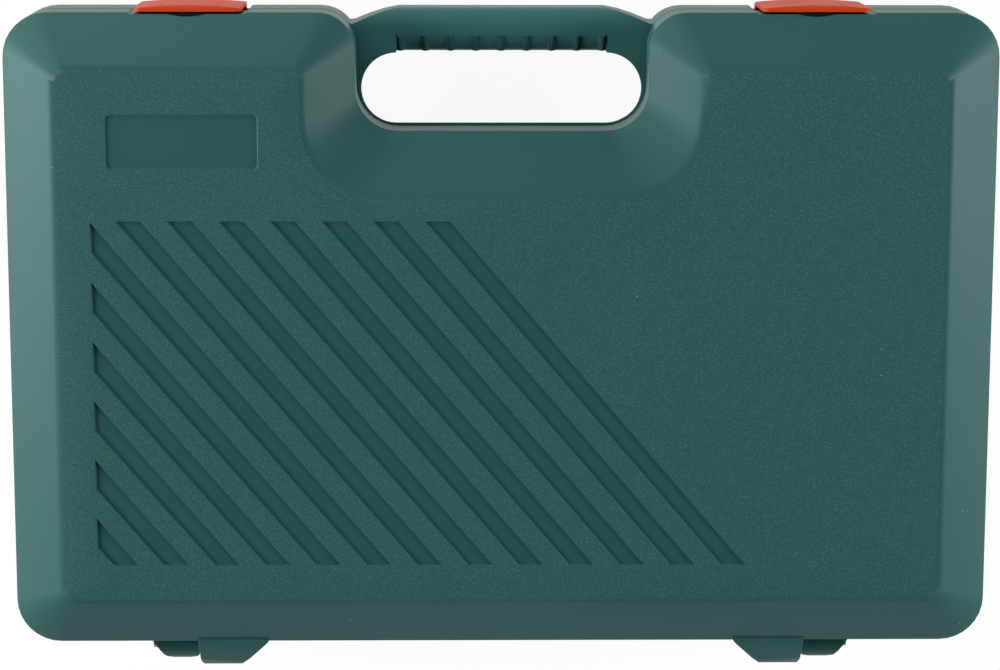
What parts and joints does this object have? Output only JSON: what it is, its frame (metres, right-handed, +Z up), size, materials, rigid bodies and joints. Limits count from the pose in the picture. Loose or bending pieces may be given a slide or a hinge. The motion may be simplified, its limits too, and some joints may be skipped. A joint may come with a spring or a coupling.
{
  "type": "socket wrench set in case",
  "caption": "Flat green plastic tool case with a hinged lid, hand hole and two orange latches, holding a half inch socket wrench set: ratchet, sockets, extensions and bits.",
  "frame": {"origin": "middle of the underside of the base, on the surface that the closed case lies on", "axes": "+X along the width, to the right of someone who stands at the hand hold, -Y towards the hand hold and the latches, +Y towards the hinge, +Z up through the lid with the striped panel"},
  "size_m": [0.4, 0.2757, 0.072],
  "materials": {
    "case_plastic": "grained, blow-moulded",
    "latch_plastic": "satin, injection-moulded",
    "chrome_vanadium": "satin chrome plate",
    "bare_steel": "oiled, ground",
    "bit_steel": "phosphated",
    "grip_plastic": "soft matte",
    "rubber": "matte"
  },
  "bodies": {
    "base_case": {"base_shell": "case_plastic", "hinge_pin_left": "bare_steel", "hinge_pin_right": "bare_steel", "socket_10": "chrome_vanadium", "socket_11": "chrome_vanadium", "socket_12": "chrome_vanadium", "socket_13": "chrome_vanadium", "socket_14": "chrome_vanadium", "socket_15": "chrome_vanadium", "socket_16": "chrome_vanadium", "socket_17": "chrome_vanadium", "socket_18": "chrome_vanadium", "socket_19": "chrome_vanadium", "socket_20": "chrome_vanadium", "socket_21": "chrome_vanadium", "socket_22": "chrome_vanadium", "socket_24": "chrome_vanadium", "socket_27": "chrome_vanadium", "socket_30": "chrome_vanadium", "socket_32": "chrome_vanadium", "plug_socket_16": "chrome_vanadium", "plug_socket_21": "chrome_vanadium", "plug_insert_16": "rubber", "plug_insert_21": "rubber", "ratchet_body": "chrome_vanadium", "ratchet_grip": "grip_plastic", "ratchet_cover": "chrome_vanadium", "ratchet_screws": "bare_steel", "ratchet_pawl": "bare_steel", "extension_75": "chrome_vanadium", "extension_125": "chrome_vanadium", "extension_250": "chrome_vanadium", "extension_balls": "bare_steel", "t_bar": "chrome_vanadium", "uj_fork_fixed": "chrome_vanadium", "adaptor": "chrome_vanadium", "bit_4": "bit_steel", "bit_5": "bit_steel", "bit_6": "bit_steel", "bit_7": "bit_steel", "bit_8": "bit_steel"},
    "lid": {"lid_shell": "case_plastic"},
    "latch_left": {"latch_left": "latch_plastic"},
    "latch_right": {"latch_right": "latch_plastic"},
    "ratchet_drive": {"ratchet_drive": "bare_steel", "ratchet_ball": "bare_steel"},
    "ratchet_button": {"ratchet_button": "chrome_vanadium"},
    "ratchet_lever": {"ratchet_lever": "chrome_vanadium"},
    "t_head": {"t_head": "chrome_vanadium", "t_head_ball": "bare_steel"},
    "uj_cross": {"uj_cross": "bare_steel"},
    "uj_fork_free": {"uj_fork_free": "chrome_vanadium"}
  },
  "joints": [
    {"name": "lid_hinge", "type": "hinge", "parent": "base_case", "child": "lid", "pos_m": [0, 0.1367, 0.0365], "axis": [-1, 0, 0], "range_deg": [0, 180]},
    {"name": "latch_left_hinge", "type": "hinge", "parent": "base_case", "child": "latch_left", "pos_m": [-0.126, -0.1274, 0.018], "axis": [1, 0, 0], "range_deg": [0, 95]},
    {"name": "latch_right_hinge", "type": "hinge", "parent": "base_case", "child": "latch_right", "pos_m": [0.126, -0.1274, 0.018], "axis": [1, 0, 0], "range_deg": [0, 95]},
    {"name": "ratchet_drive_turn", "type": "hinge", "parent": "base_case", "child": "ratchet_drive", "pos_m": [-0.158, 0.03343, 0.031], "axis": [0, 0, 1], "continuous": true},
    {"name": "ratchet_button_press", "type": "slide", "parent": "ratchet_drive", "child": "ratchet_button", "axis": [0, 0, -1], "range_m": [0, 0.0015], "stiffness_N_per_m": 800, "springref_m": -0.001},
    {"name": "ratchet_lever_swing", "type": "hinge", "parent": "base_case", "child": "ratchet_lever", "pos_m": [-0.144, 0.03343, 0.042], "axis": [0, 0, 1], "range_deg": [-20, 20]},
    {"name": "t_head_slide", "type": "slide", "parent": "base_case", "child": "t_head", "axis": [1, 0, 0], "range_m": [-0.19, 0]},
    {"name": "uj_cross_swing", "type": "hinge", "parent": "base_case", "child": "uj_cross", "pos_m": [0.13, -0.05464, 0.03], "axis": [0, 0, 1], "range_deg": [-30, 30]},
    {"name": "uj_fork_swing", "type": "hinge", "parent": "uj_cross", "child": "uj_fork_free", "pos_m": [0.13, -0.05464, 0.03], "axis": [0, 1, 0], "range_deg": [-30, 30]}
  ]
}
